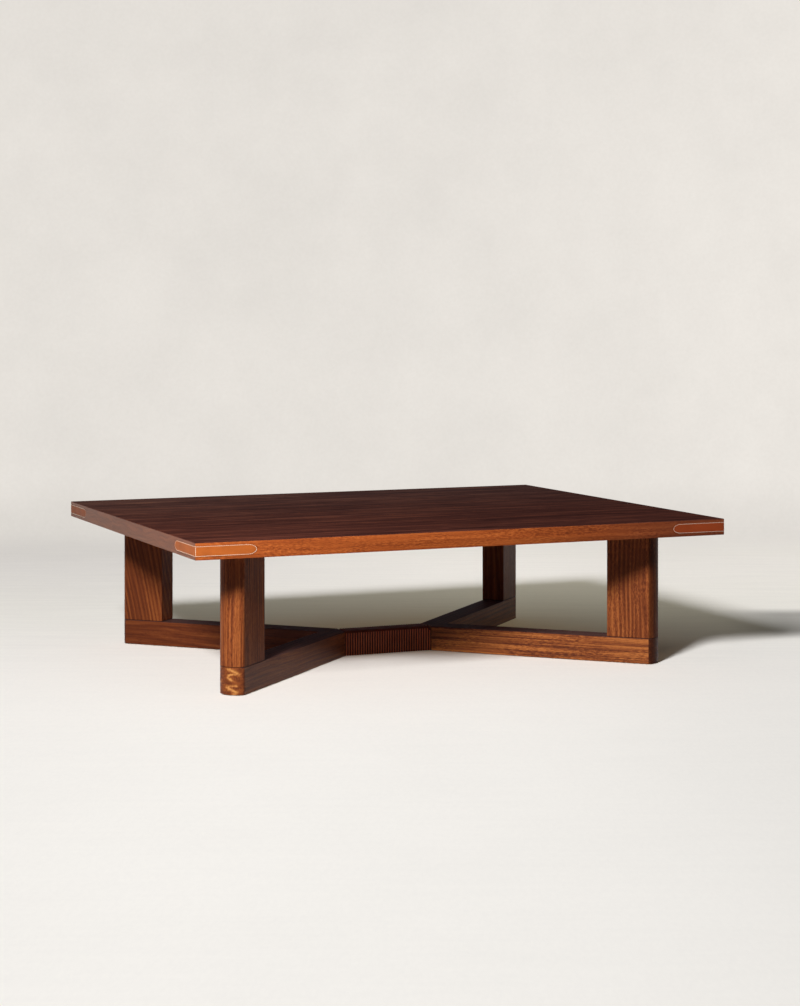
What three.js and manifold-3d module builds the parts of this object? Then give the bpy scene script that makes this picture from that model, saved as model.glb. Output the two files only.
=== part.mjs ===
// Low rectangular table in mahogany: a thick boarded top with leather let into its corners, on four plank
// legs. Each leg stands on the curved end of a floor arm. The arms leave a short centre beam in two V pairs,
// and the beam is wound with leather lace. Millimetres, +Z up, +X along the top, -Y to the front.
// The origin is on the floor under the middle of the top.
import * as THREE from 'three'
import { mergeVertices } from 'three/addons/utils/BufferGeometryUtils.js'
import Module from 'manifold-3d'

const wasm = await Module()
wasm.setup()

// Overall sizes
const topLength = 1524
const topWidth = 1219
const overallHeight = 410

// Clearances
const seatGap = 0.3
const glueLine = 0.2
const overrun = 5

// Top boards
const topThickness = 44
const boardCount = 8
const tongueThickness = 12
const tongueDepth = 10
const tongueStop = 60
const topEase = 1.2
const topCornerRadius = 2

// Corner leathers
const leatherReach = 162
const leatherEndReach = 173
const leatherHeight = 27
const leatherTipLength = 24
const leatherThickness = 2.5

// Rails, which are the four arms and the beam
const railWidth = 70
const railHeight = 70
const railEase = 1
const footInset = 133.5
const beamHalf = 149
const endDepth = 17

// Legs
const legWidth = 136.5
const legArrisChamfer = 1

// Loose tenons in the mitres
const tenonThickness = 10
const tenonHeight = 36
const tenonReach = 18
const tenonEdgeRadius = 4

// Dowels between leg and arm
const dowelDiameter = 12
const dowelLength = 80
const dowelChamfer = 1.5
const dowelEdgeDistance = 28

// Leg bolts, washers and threaded inserts
const boltDiameter = 8
const boltClearance = 0.5
const boltHeadDiameter = 13
const boltHeadHeight = 8
const boltLength = 75
const boltTipChamfer = 1
const socketWidth = 6
const socketDepth = 4
const washerDiameter = 18
const washerThickness = 1.6
const counterboreDiameter = 20
const counterboreDepth = 16
const insertDiameter = 13
const insertLength = 25
const insertFlangeDiameter = 17
const insertFlangeThickness = 1.5

// Head plates
const plateLength = 176
const plateWidth = 112
const plateThickness = 5
const plateCornerRadius = 14
const slotLength = 13
const slotWidth = 6.5
const slotEdgeDistance = 11
const slotSpacing = 110
const legScrewHole = 6
const legScrewSink = 11
const legScrewSinkDepth = 2.5
const legScrewSpacing = 80

// Glides
const glideDiameter = 36
const glideThickness = 5
const glideProud = 1.5
const glideChamfer = 0.8
const glideEdgeDistance = 35

// Lacing
const laceWidth = 7
const laceThickness = 3.2
const laceSpacing = 0.6
const laceBend = 4
const laceTuckStraight = 7
const laceTuckCover = 3
const laceTuckOffset = 8
const laceTuckClearance = 0.4
const laceCoreRadius = 3
const laceShoulder = 1
const laceSectionShares = [[-0.5, -0.5], [0.5, -0.5], [0.5, 0.1], [0.25, 0.5], [-0.25, 0.5], [-0.5, 0.1]]

// Smoothness, as counts
const easeSegments = 1
const footSegments = 8
const fineSegments = 2
const leatherTipSegments = 10
const boreSegments = 12
const glideSegments = 18
const laceCornerSteps = 3
const gapSamples = 4

// Heights and places worked out from the sizes above
const railBottom = glideProud
const railTop = railBottom + railHeight
const railMiddle = railBottom + railHeight / 2
const legBottom = railTop + seatGap
const topUnderside = overallHeight - topThickness
const topMiddle = topUnderside + topThickness / 2
const halfRail = railWidth / 2
const footX = topLength / 2 - footInset
const footY = topWidth / 2 - footInset
const armAngle = Math.atan2(footY, footX - beamHalf)
const armLength = Math.hypot(footY, footX - beamHalf)
const mitreRun = halfRail * Math.tan(armAngle / 2)
const legMiddle = armLength - legWidth / 2
const endRadius = (halfRail ** 2 + endDepth ** 2) / (2 * endDepth)
const endHalfTurn = 2 * Math.atan(endDepth / halfRail)
const boardWidth = topWidth / boardCount

// The strands of both laces stand side by side in one recess between the beam's shoulders
const lacePitch = laceWidth + laceSpacing
const laceRoom = 2 * (beamHalf - mitreRun - laceShoulder)
const laceTurns = Math.floor((laceRoom / lacePitch - 1) / 2)
const laceRecessHalf = ((2 * laceTurns + 1) * lacePitch + laceSpacing) / 2
const laceRecessDepth = laceThickness + seatGap
const coreHalfWidth = halfRail - laceRecessDepth
const coreHalfHeight = railHeight / 2 - laceRecessDepth

// Finishes
const finishes = {
  topWood: { color: 0x5a2d1c, roughness: 0.45, metalness: 0 },
  baseWood: { color: 0x7a3a1d, roughness: 0.5, metalness: 0 },
  cornerLeather: { color: 0xb8622b, roughness: 0.6, metalness: 0 },
  laceLeather: { color: 0x5b2415, roughness: 0.65, metalness: 0 },
  dowelWood: { color: 0xc79a63, roughness: 0.7, metalness: 0 },
  steel: { color: 0x8d9094, roughness: 0.35, metalness: 1 },
  brass: { color: 0xb08d4a, roughness: 0.4, metalness: 1 },
  felt: { color: 0x3b2a20, roughness: 0.95, metalness: 0 },
}

const group = new THREE.Group()
const up = new THREE.Vector3(0, 0, 1)

// Solids

function solid(geometry, matrix = new THREE.Matrix4()) {
  const bare = geometry.clone().applyMatrix4(matrix)
  bare.deleteAttribute('normal')
  bare.deleteAttribute('uv')
  const merged = mergeVertices(bare)
  const index = merged.index.array
  const mirrored = matrix.determinant() < 0
  const kept = []
  for (let i = 0; i < index.length; i += 3) {
    const [a, b, c] = [index[i], index[i + 1], index[i + 2]]
    const flat = a === b || b === c || c === a
    if (!flat) kept.push(a, ...(mirrored ? [c, b] : [b, c]))
  }
  const vertProperties = Float32Array.from(merged.attributes.position.array)
  const triVerts = Uint32Array.from(kept)
  return new wasm.Manifold(new wasm.Mesh({ numProp: 3, vertProperties, triVerts }))
}

function geometryOf(body) {
  const mesh = body.getMesh()
  const geometry = new THREE.BufferGeometry()
  geometry.setAttribute('position', new THREE.BufferAttribute(Float32Array.from(mesh.vertProperties), 3))
  geometry.setIndex(new THREE.BufferAttribute(Uint32Array.from(mesh.triVerts), 1))
  geometry.computeVertexNormals()
  return geometry
}

function cut(body, tools) {
  return tools.reduce((left, tool) => left.subtract(tool), body)
}

function addPiece(parent, name, body, finish) {
  const mesh = new THREE.Mesh(geometryOf(body), new THREE.MeshStandardMaterial(finish))
  mesh.name = name
  parent.add(mesh)
  return mesh
}

// Outlines and simple forms

// Closed outline through points of [x, y, radius]
function roundedShape(points) {
  const shape = new THREE.Shape()
  points.forEach(([x, y, radius], i) => {
    const here = new THREE.Vector2(x, y)
    const before = points[(i + points.length - 1) % points.length]
    const after = points[(i + 1) % points.length]
    const back = new THREE.Vector2(before[0], before[1]).sub(here).normalize()
    const on = new THREE.Vector2(after[0], after[1]).sub(here).normalize()
    if (radius > 0) {
      const half = Math.acos(back.dot(on)) / 2
      const inward = back.clone().add(on).normalize()
      const centre = here.clone().addScaledVector(inward, radius / Math.sin(half))
      const start = here.clone().addScaledVector(back, radius / Math.tan(half)).sub(centre)
      const end = here.clone().addScaledVector(on, radius / Math.tan(half)).sub(centre)
      shape.absarc(centre.x, centre.y, radius, start.angle(), end.angle(), back.cross(on) > 0)
    } else if (i === 0) {
      shape.moveTo(x, y)
    } else {
      shape.lineTo(x, y)
    }
  })
  shape.closePath()
  return shape
}

// Closed outline of an arm or leg in the arm's frame: points of [x, y], then the curved end from one side,
// told by its sign, to the other
function endedShape(points, side) {
  const shape = new THREE.Shape(points.map(([x, y]) => new THREE.Vector2(x, y)))
  const [from, to] = [side * endHalfTurn, -side * endHalfTurn]
  shape.absarc(armLength - endRadius, 0, endRadius, from, to, side > 0)
  shape.closePath()
  return shape
}

function rectangle(x0, x1, y0, y1, radius = 0) {
  return roundedShape([[x0, y0, radius], [x1, y0, radius], [x1, y1, radius], [x0, y1, radius]])
}

function prism(shape, bottom, top, ease = 0, curveSegments = fineSegments) {
  const geometry = new THREE.ExtrudeGeometry(shape, {
    depth: top - bottom - 2 * ease,
    bevelEnabled: ease > 0,
    bevelThickness: ease,
    bevelSize: ease,
    bevelOffset: -ease,
    bevelSegments: easeSegments,
    curveSegments,
  })
  return geometry.translate(0, 0, bottom + ease)
}

function block(x0, x1, y0, y1, z0, z1) {
  return solid(prism(rectangle(x0, x1, y0, y1), z0, z1))
}

// Revolved form about a vertical axis, from [radius, height] points
function revolved(profile, x = 0, y = 0, segments = boreSegments) {
  const points = profile.map(([radius, height]) => new THREE.Vector2(radius, height))
  const geometry = new THREE.LatheGeometry(points, segments)
  return solid(geometry.rotateX(Math.PI / 2).translate(x, y, 0))
}

function cylinder(x, y, diameter, bottom, top, segments = boreSegments) {
  const radius = diameter / 2
  return revolved([[0, bottom], [radius, bottom], [radius, top], [0, top]], x, y, segments)
}

function ring(x, y, inner, outer, bottom, top) {
  const [a, b] = [inner / 2, outer / 2]
  return revolved([[a, bottom], [b, bottom], [b, top], [a, top], [a, bottom]], x, y)
}

// Corners of the table, as signs of X and Y
const corners = [
  { name: 'front_left', sx: -1, sy: -1 },
  { name: 'front_right', sx: 1, sy: -1 },
  { name: 'back_left', sx: -1, sy: 1 },
  { name: 'back_right', sx: 1, sy: 1 },
]

// Each arm's own frame starts where its middle line leaves the beam and runs outwards along +X
for (const corner of corners) {
  const direction = Math.atan2(corner.sy * Math.sin(armAngle), corner.sx * Math.cos(armAngle))
  corner.hand = corner.sx * corner.sy
  corner.frame = new THREE.Group()
  corner.frame.position.set(corner.sx * beamHalf, 0, 0)
  corner.frame.rotation.z = direction
  corner.frame.updateMatrix()
  corner.direction = direction
  corner.inverse = corner.frame.matrix.clone().invert()
  group.add(corner.frame)
}

// Top

function leatherOutline(reach, grow) {
  const half = leatherHeight / 2 + grow
  const straight = reach - leatherTipLength
  const tip = leatherTipLength + grow
  const shape = new THREE.Shape()
  shape.moveTo(-overrun, -half)
  shape.lineTo(straight, -half)
  shape.absellipse(straight, 0, tip, half, -Math.PI / 2, Math.PI / 2, false, 0)
  shape.lineTo(-overrun, half)
  shape.closePath()
  return shape
}

// Band round one corner of the top, let in from both edge faces
function cornerBand({ sx, sy }, grow) {
  const [longStrip, endStrip] = [leatherReach, leatherEndReach].map((reach) =>
    prism(leatherOutline(reach, grow), -overrun, leatherThickness + grow, 0, leatherTipSegments))
  const alongX = new THREE.Vector3(-sx, 0, 0)
  const alongY = new THREE.Vector3(0, -sy, 0)
  const place = [sx * topLength / 2, sy * topWidth / 2, topMiddle]
  const longSide = new THREE.Matrix4().makeBasis(alongX, up, alongY).setPosition(...place)
  const endSide = new THREE.Matrix4().makeBasis(alongY, up, alongX).setPosition(...place)
  return solid(longStrip, longSide).add(solid(endStrip, endSide))
}

function plateOutline(grow) {
  const [half, wide] = [plateLength / 2 + grow, plateWidth / 2 + grow]
  return rectangle(legMiddle - half, legMiddle + half, -wide, wide, plateCornerRadius + grow)
}

function boardEdge(i) {
  return i * boardWidth - topWidth / 2
}

function tongue(i, grow) {
  const reach = topLength / 2 - tongueStop + grow
  const half = tongueThickness / 2 + grow
  const edge = boardEdge(i)
  return block(-reach, reach, edge - overrun, edge + tongueDepth + grow, topMiddle - half, topMiddle + half)
}

function makeTop() {
  const [halfLength, halfWidth] = [topLength / 2, topWidth / 2]
  const outline = rectangle(-halfLength, halfLength, -halfWidth, halfWidth, topCornerRadius)
  const slab = solid(prism(outline, topUnderside, overallHeight, topEase))
  const bands = corners.map((corner) => cornerBand(corner, seatGap))
  const seatTop = topUnderside + plateThickness + seatGap
  const plateSeat = prism(plateOutline(seatGap), topUnderside - overrun, seatTop)
  const seats = corners.map((corner) => solid(plateSeat, corner.frame.matrix))
  const reach = halfLength + overrun
  for (let i = 0; i < boardCount; i++) {
    const first = i === 0
    const last = i === boardCount - 1
    const front = boardEdge(i) + (first ? -overrun : glueLine / 2)
    const back = boardEdge(i + 1) + (last ? overrun : -glueLine / 2)
    const blank = block(-reach, reach, front, back, topUnderside - overrun, overallHeight + overrun)
    let board = slab.intersect(blank)
    if (!last) board = board.add(tongue(i + 1, 0))
    if (!first) board = board.subtract(tongue(i, glueLine))
    addPiece(group, `top_board_${i + 1}`, cut(board, [...bands, ...seats]), finishes.topWood)
  }
  for (const corner of corners) {
    const leather = slab.intersect(cornerBand(corner, 0))
    addPiece(group, `corner_leather_${corner.name}`, leather, finishes.cornerLeather)
  }
}

// Loose tenons: a middle point, a direction across the joint, and the signs of the corner

function tenon(x, y, direction, grow) {
  const across = new THREE.Vector3(Math.cos(direction), Math.sin(direction), 0)
  const side = new THREE.Vector3().crossVectors(up, across)
  const half = tenonThickness / 2 + grow
  const tall = tenonHeight / 2 + grow
  const reach = tenonReach + grow
  const outline = rectangle(-half, half, -tall, tall, tenonEdgeRadius + grow)
  const matrix = new THREE.Matrix4().makeBasis(side, up, across).setPosition(x, y, railMiddle)
  return { geometry: prism(outline, -reach, reach), matrix }
}

function mitreTenon({ sx, sy }, grow) {
  const direction = Math.atan2(sy * Math.sin(armAngle / 2), sx * Math.cos(armAngle / 2))
  return tenon(sx * (beamHalf - mitreRun / 2), sy * halfRail / 2, direction, grow)
}

function hubTenon(sx, grow) {
  const crotch = halfRail / Math.sin(armAngle)
  return tenon(sx * (beamHalf + crotch / 2), 0, Math.PI / 2, grow)
}

function tenonSolid({ geometry, matrix }, frame = new THREE.Matrix4()) {
  return solid(geometry, frame.clone().multiply(matrix))
}

// Arms

// Plan of an arm in its own frame: two faces of the three-way mitre, and the curved end
function armOutline(hand) {
  const half = seatGap / 2
  const sin = Math.sin(armAngle)
  const cos = Math.cos(armAngle)
  const sinHalf = Math.sin(armAngle / 2)
  const cosHalf = Math.cos(armAngle / 2)
  const crotchX = (half + halfRail * cos) / sin
  const shoulderX = (half + halfRail * sinHalf) / cosHalf
  const spread = sin * sinHalf + cos * cosHalf
  const apexX = half * (cos + sinHalf) / spread
  const apexY = half * (cosHalf - sin) / spread
  return endedShape([[shoulderX, hand * halfRail], [apexX, hand * apexY], [crotchX, -hand * halfRail]], -hand)
}

const dowelPlaces = { outer: armLength - dowelEdgeDistance, inner: armLength - legWidth + dowelEdgeDistance }
const glidePlace = armLength - glideEdgeDistance

function makeArm(corner) {
  const body = solid(prism(armOutline(corner.hand), railBottom, railTop, railEase, footSegments))
  const floor = railBottom + counterboreDepth
  const glideSeat = glideDiameter + 2 * seatGap
  const dowelBores = Object.values(dowelPlaces).map((x) =>
    cylinder(x, 0, dowelDiameter + 2 * seatGap, railTop - dowelLength / 2 - seatGap, railTop + overrun))
  const arm = cut(body, [
    ...dowelBores,
    cylinder(legMiddle, 0, boltDiameter + 2 * boltClearance, railBottom, railTop + overrun),
    cylinder(legMiddle, 0, counterboreDiameter, railBottom - overrun, floor),
    cylinder(glidePlace, 0, glideSeat, railBottom - overrun, glideThickness + seatGap, glideSegments),
    tenonSolid(mitreTenon(corner, seatGap), corner.inverse),
    tenonSolid(hubTenon(corner.sx, seatGap), corner.inverse),
  ])
  addPiece(corner.frame, `arm_${corner.name}`, arm, finishes.baseWood)
}

// Legs

function makeLeg(corner) {
  const start = armLength - legWidth
  const outline = endedShape([
    [start + legArrisChamfer, halfRail],
    [start, halfRail - legArrisChamfer],
    [start, legArrisChamfer - halfRail],
    [start + legArrisChamfer, -halfRail],
  ], -1)
  const body = solid(prism(outline, legBottom, topUnderside - seatGap, railEase, footSegments))
  const dowelBores = Object.values(dowelPlaces).map((x) =>
    cylinder(x, 0, dowelDiameter + 2 * seatGap, legBottom - overrun, railTop + dowelLength / 2 + seatGap))
  const insertTop = legBottom + insertLength + seatGap
  const flangeTop = legBottom + insertFlangeThickness + seatGap
  const leg = cut(body, [
    ...dowelBores,
    cylinder(legMiddle, 0, insertDiameter + 2 * seatGap, legBottom - overrun, insertTop),
    cylinder(legMiddle, 0, insertFlangeDiameter + 2 * seatGap, legBottom - overrun, flangeTop),
  ])
  addPiece(corner.frame, `leg_${corner.name}`, leg, finishes.baseWood)
}

// Joinery and hardware of one leg

function makeDowels(corner) {
  const radius = dowelDiameter / 2
  const [low, high] = [railTop - dowelLength / 2, railTop + dowelLength / 2]
  for (const [end, x] of Object.entries(dowelPlaces)) {
    const dowel = revolved([
      [0, low],
      [radius - dowelChamfer, low],
      [radius, low + dowelChamfer],
      [radius, high - dowelChamfer],
      [radius - dowelChamfer, high],
      [0, high],
    ], x)
    addPiece(corner.frame, `leg_dowel_${corner.name}_${end}`, dowel, finishes.dowelWood)
  }
}

function makeBolt(corner) {
  const washerTop = railBottom + counterboreDepth - seatGap
  const seat = washerTop - washerThickness - seatGap
  const [head, shank, tip] = [seat - boltHeadHeight, boltDiameter / 2, seat + boltLength]
  const headRadius = boltHeadDiameter / 2
  const blank = revolved([
    [0, head],
    [headRadius, head],
    [headRadius, seat],
    [shank, seat],
    [shank, tip - boltTipChamfer],
    [shank - boltTipChamfer, tip],
    [0, tip],
  ], legMiddle)
  const socketRadius = socketWidth / Math.sqrt(3)
  const hexagon = new THREE.CylinderGeometry(socketRadius, socketRadius, socketDepth + overrun, 6)
  hexagon.rotateX(Math.PI / 2).translate(legMiddle, 0, head + (socketDepth - overrun) / 2)
  addPiece(corner.frame, `leg_bolt_${corner.name}`, blank.subtract(solid(hexagon)), finishes.steel)
  const washerBore = boltDiameter + 2 * boltClearance
  const washer = ring(legMiddle, 0, washerBore, washerDiameter, washerTop - washerThickness, washerTop)
  addPiece(corner.frame, `bolt_washer_${corner.name}`, washer, finishes.steel)
  const inner = boltDiameter / 2 + seatGap
  const [flange, outer] = [insertFlangeDiameter / 2, insertDiameter / 2]
  const insert = revolved([
    [inner, legBottom],
    [flange, legBottom],
    [flange, legBottom + insertFlangeThickness],
    [outer, legBottom + insertFlangeThickness],
    [outer, legBottom + insertLength],
    [inner, legBottom + insertLength],
    [inner, legBottom],
  ], legMiddle)
  addPiece(corner.frame, `threaded_insert_${corner.name}`, insert, finishes.brass)
}

// Slot for a wood screw, turned so that it runs across the grain of the top
function slotHole(x, y, turn) {
  const along = new THREE.Vector2(Math.cos(turn), Math.sin(turn)).multiplyScalar((slotLength - slotWidth) / 2)
  const hole = new THREE.Path()
  const radius = slotWidth / 2
  hole.absarc(x + along.x, y + along.y, radius, turn - Math.PI / 2, turn + Math.PI / 2, false)
  hole.absarc(x - along.x, y - along.y, radius, turn + Math.PI / 2, turn + 3 * Math.PI / 2, false)
  hole.closePath()
  return hole
}

function makePlate(corner) {
  const outline = plateOutline(0)
  const turn = Math.PI / 2 - corner.direction
  const side = plateWidth / 2 - slotEdgeDistance
  for (const [along, across] of [[-1, -1], [-1, 1], [1, -1], [1, 1]]) {
    outline.holes.push(slotHole(legMiddle + along * slotSpacing / 2, across * side, turn))
  }
  const top = topUnderside + plateThickness
  const [hole, sink] = [legScrewHole / 2, legScrewSink / 2]
  const screwHoles = [-1, 1].map((along) => revolved([
    [0, topUnderside - overrun],
    [hole, topUnderside - overrun],
    [hole, top - legScrewSinkDepth],
    [sink, top],
    [sink, top + overrun],
    [0, top + overrun],
  ], legMiddle + along * legScrewSpacing / 2))
  const plate = cut(solid(prism(outline, topUnderside, top)), screwHoles)
  addPiece(corner.frame, `head_plate_${corner.name}`, plate, finishes.steel)
}

function makeGlide(corner) {
  const radius = glideDiameter / 2
  const glide = revolved([
    [0, 0],
    [radius - glideChamfer, 0],
    [radius, glideChamfer],
    [radius, glideThickness],
    [0, glideThickness],
  ], glidePlace, 0, glideSegments)
  addPiece(corner.frame, `glide_${corner.name}`, glide, finishes.felt)
}

// Lacing

// The route of the left lace round the beam. Each point has its place and the turn of its outer side, from
// the back face at zero through the underside and the front to the top. It starts tucked into the back
// face and ends tucked into the underside. Along the beam it moves on only where it crosses the top.
function laceRoute() {
  const halfWidth = halfRail - laceThickness / 2
  const halfHeight = railHeight / 2 - laceThickness / 2
  const radius = laceCoreRadius + seatGap + laceThickness / 2
  const tuckHeight = coreHalfHeight - laceTuckCover - seatGap - laceThickness / 2
  const points = []
  const bend = (x, y, z, bendRadius, from, steps = laceCornerSteps) => {
    for (let i = 0; i <= steps; i++) {
      const turn = from - (i / steps) * Math.PI / 2
      points.push({ x, y: y + bendRadius * Math.cos(turn), z: z + bendRadius * Math.sin(turn), turn })
    }
  }
  const column = (k) => (k - laceTurns) * lacePitch
  const tuckStart = halfWidth - laceBend
  points.push({ x: column(0), y: tuckStart - laceTuckStraight, z: tuckHeight, turn: Math.PI / 2 })
  bend(column(0), tuckStart, tuckHeight - laceBend, laceBend, Math.PI / 2)
  const tucked = points.length
  for (let k = 0; k < laceTurns; k++) {
    bend(column(k), halfWidth - radius, radius - halfHeight, radius, 0)
    bend(column(k), radius - halfWidth, radius - halfHeight, radius, -Math.PI / 2)
    bend(column(k), radius - halfWidth, halfHeight - radius, radius, -Math.PI)
    bend(column(k + 1), halfWidth - radius, halfHeight - radius, radius, -3 * Math.PI / 2)
  }
  bend(column(laceTurns), halfWidth - radius, radius - halfHeight, radius, 0)
  const untucked = points.length
  bend(column(laceTurns), laceTuckOffset + laceBend, laceBend - halfHeight, laceBend, -Math.PI / 2)
  const end = laceBend + laceTuckStraight - halfHeight
  points.push({ x: column(laceTurns), y: laceTuckOffset, z: end, turn: -Math.PI })
  return { points, tucked, untucked }
}

// Domed flat cord along a route, with its width always along the beam
function cord(points, grow) {
  const sides = laceSectionShares.length
  const positions = []
  for (const { x, y, z, turn } of points) {
    for (const [acrossShare, outShare] of laceSectionShares) {
      const across = acrossShare * (laceWidth + 2 * grow)
      const out = outShare * (laceThickness + 2 * grow)
      positions.push(x + across, y + out * Math.cos(turn), railMiddle + z + out * Math.sin(turn))
    }
  }
  const index = []
  for (let i = 0; i + 1 < points.length; i++) {
    for (let j = 0; j < sides; j++) {
      const next = (j + 1) % sides
      const [a, b, c, d] = [i * sides + j, i * sides + next, (i + 1) * sides + next, (i + 1) * sides + j]
      index.push(a, d, b, d, c, b)
    }
  }
  const last = (points.length - 1) * sides
  for (let j = 1; j + 1 < sides; j++) {
    index.push(0, j, j + 1, last, last + j + 1, last + j)
  }
  const geometry = new THREE.BufferGeometry()
  geometry.setAttribute('position', new THREE.Float32BufferAttribute(positions, 3))
  geometry.setIndex(index)
  return geometry
}

// Least distance between the corners of the cord's section on one turn and on the next
function leastGapToItself(points) {
  const fine = []
  for (let i = 0; i + 1 < points.length; i++) {
    for (let s = 0; s < gapSamples; s++) {
      const share = s / gapSamples
      const mix = (key) => points[i][key] * (1 - share) + points[i + 1][key] * share
      const near = Math.abs(points[i + 1].turn - points[i].turn) < Math.PI
      const turn = near ? mix('turn') : points[i + 1].turn
      fine.push({ x: mix('x'), y: mix('y'), z: mix('z'), turn })
    }
  }
  const sides = laceSectionShares.length
  const spots = cord(fine, 0).getAttribute('position')
  const perTurn = 4 * (laceCornerSteps + 1) * gapSamples
  const [a, b] = [new THREE.Vector3(), new THREE.Vector3()]
  let least = Infinity
  for (let i = 0; i < fine.length; i++) {
    const until = Math.min(fine.length, i + perTurn + 2 * gapSamples)
    for (let j = i + perTurn - 2 * gapSamples; j < until; j++) {
      for (let m = 0; m < sides * sides; m++) {
        a.fromBufferAttribute(spots, i * sides + Math.floor(m / sides))
        b.fromBufferAttribute(spots, j * sides + (m % sides))
        least = Math.min(least, a.distanceTo(b))
      }
    }
  }
  return least
}

function makeLacing(route) {
  const left = addPiece(group, 'lace_left', solid(cord(route.points, 0)), finishes.laceLeather)
  const right = new THREE.Mesh(left.geometry.clone(), left.material.clone())
  right.name = 'lace_right'
  right.rotation.z = Math.PI
  group.add(right)
  const gap = leastGapToItself(route.points)
  console.log(`each lace has ${laceTurns} turns, and its least gap to itself is ${gap.toFixed(2)} mm`)
}

// Centre beam

function makeBeam(route) {
  const tip = beamHalf - seatGap / (2 * Math.cos(armAngle / 2))
  const shoulder = tip - mitreRun
  const outline = roundedShape([
    [tip, 0, 0],
    [shoulder, halfRail, 0],
    [-shoulder, halfRail, 0],
    [-tip, 0, 0],
    [-shoulder, -halfRail, 0],
    [shoulder, -halfRail, 0],
  ])
  const body = solid(prism(outline, railBottom, railTop, railEase))
  const [wide, low, high] = [halfRail + overrun, railBottom - overrun, railTop + overrun]
  const collar = block(-laceRecessHalf, laceRecessHalf, -wide, wide, low, high)
  const section = rectangle(-coreHalfWidth, coreHalfWidth, -coreHalfHeight, coreHalfHeight, laceCoreRadius)
  const alongBeam = new THREE.Matrix4().makeBasis(new THREE.Vector3(0, 1, 0), up, new THREE.Vector3(1, 0, 0))
  alongBeam.setPosition(0, 0, railMiddle)
  const core = solid(prism(section, -beamHalf, beamHalf), alongBeam)
  const tucks = [route.points.slice(0, route.tucked), route.points.slice(route.untucked)]
  const halfTurn = new THREE.Matrix4().makeRotationZ(Math.PI)
  const tuckHoles = tucks.flatMap((points) => {
    const hole = cord(points, laceTuckClearance)
    return [solid(hole), solid(hole, halfTurn)]
  })
  const mortises = corners.map((corner) => tenonSolid(mitreTenon(corner, seatGap)))
  const beam = cut(body, [collar.subtract(core), ...tuckHoles, ...mortises])
  addPiece(group, 'centre_beam', beam, finishes.baseWood)
}

makeTop()
for (const corner of corners) {
  makeArm(corner)
  makeLeg(corner)
  makeDowels(corner)
  makeBolt(corner)
  makePlate(corner)
  makeGlide(corner)
  addPiece(group, `mitre_tenon_${corner.name}`, tenonSolid(mitreTenon(corner, 0)), finishes.dowelWood)
}
addPiece(group, 'hub_tenon_left', tenonSolid(hubTenon(-1, 0)), finishes.dowelWood)
addPiece(group, 'hub_tenon_right', tenonSolid(hubTenon(1, 0)), finishes.dowelWood)
const route = laceRoute()
makeBeam(route)
makeLacing(route)

export default group
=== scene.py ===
# Low mahogany table with leather let into the corners of its top and a laced cross base, in a pale studio.
import math

import bpy
from mathutils import Matrix, Vector


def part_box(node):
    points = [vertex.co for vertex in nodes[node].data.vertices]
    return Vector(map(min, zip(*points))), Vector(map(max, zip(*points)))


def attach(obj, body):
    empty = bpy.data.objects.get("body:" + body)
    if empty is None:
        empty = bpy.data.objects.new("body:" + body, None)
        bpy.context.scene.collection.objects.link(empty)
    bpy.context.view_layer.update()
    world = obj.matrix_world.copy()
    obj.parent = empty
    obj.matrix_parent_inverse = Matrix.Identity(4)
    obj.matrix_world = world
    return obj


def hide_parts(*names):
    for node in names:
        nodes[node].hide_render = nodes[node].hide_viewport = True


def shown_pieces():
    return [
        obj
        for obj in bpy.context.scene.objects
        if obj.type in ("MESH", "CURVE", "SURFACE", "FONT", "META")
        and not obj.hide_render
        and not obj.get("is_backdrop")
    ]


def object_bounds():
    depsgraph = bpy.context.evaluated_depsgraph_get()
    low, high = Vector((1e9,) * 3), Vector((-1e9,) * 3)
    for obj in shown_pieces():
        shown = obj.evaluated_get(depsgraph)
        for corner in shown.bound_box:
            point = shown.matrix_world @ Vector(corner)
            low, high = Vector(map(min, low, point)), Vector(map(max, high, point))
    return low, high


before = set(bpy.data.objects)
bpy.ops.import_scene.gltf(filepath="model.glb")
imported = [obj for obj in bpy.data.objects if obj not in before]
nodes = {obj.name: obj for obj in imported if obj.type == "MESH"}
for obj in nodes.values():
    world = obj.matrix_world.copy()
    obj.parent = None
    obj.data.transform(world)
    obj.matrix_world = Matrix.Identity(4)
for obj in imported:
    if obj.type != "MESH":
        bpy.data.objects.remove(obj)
cad_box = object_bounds()

MM = 0.001
CORNERS = {"front_left": (-1, -1), "front_right": (1, -1), "back_left": (-1, 1), "back_right": (1, 1)}

# Places read from the frame
TABLE_LOW, TABLE_HIGH = cad_box
HALF_LENGTH = TABLE_HIGH.x
HALF_WIDTH = TABLE_HIGH.y
TOP_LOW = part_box("top_board_1")[0].z
TOP_HIGH = TABLE_HIGH.z
TOP_MIDDLE = (TOP_LOW + TOP_HIGH) / 2
RAIL_LOW, RAIL_HIGH = (corner.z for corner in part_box("centre_beam"))
RAIL_MIDDLE = (RAIL_LOW + RAIL_HIGH) / 2
HALF_RAIL = (RAIL_HIGH - RAIL_LOW) / 2

# The base's plan: each arm's middle line runs from the beam's end to the foot
BEAM_HALF = 149 * MM
FOOT_INSET = 133.5 * MM
LEG_WIDTH = 136.5 * MM
FOOT = Vector((HALF_LENGTH - FOOT_INSET, HALF_WIDTH - FOOT_INSET, 0))
ARM_RUN = FOOT - Vector((BEAM_HALF, 0, 0))
ARM_ANGLE = math.atan2(ARM_RUN.y, ARM_RUN.x)

# Corner leathers
LEATHER_REACH = 162 * MM
LEATHER_END_REACH = 173 * MM
LEATHER_HALF = 13.5 * MM
LEATHER_TIP = 24 * MM
LEATHER_THICKNESS = 2.5 * MM
ARRIS_RADIUS = 2 * MM

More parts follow.
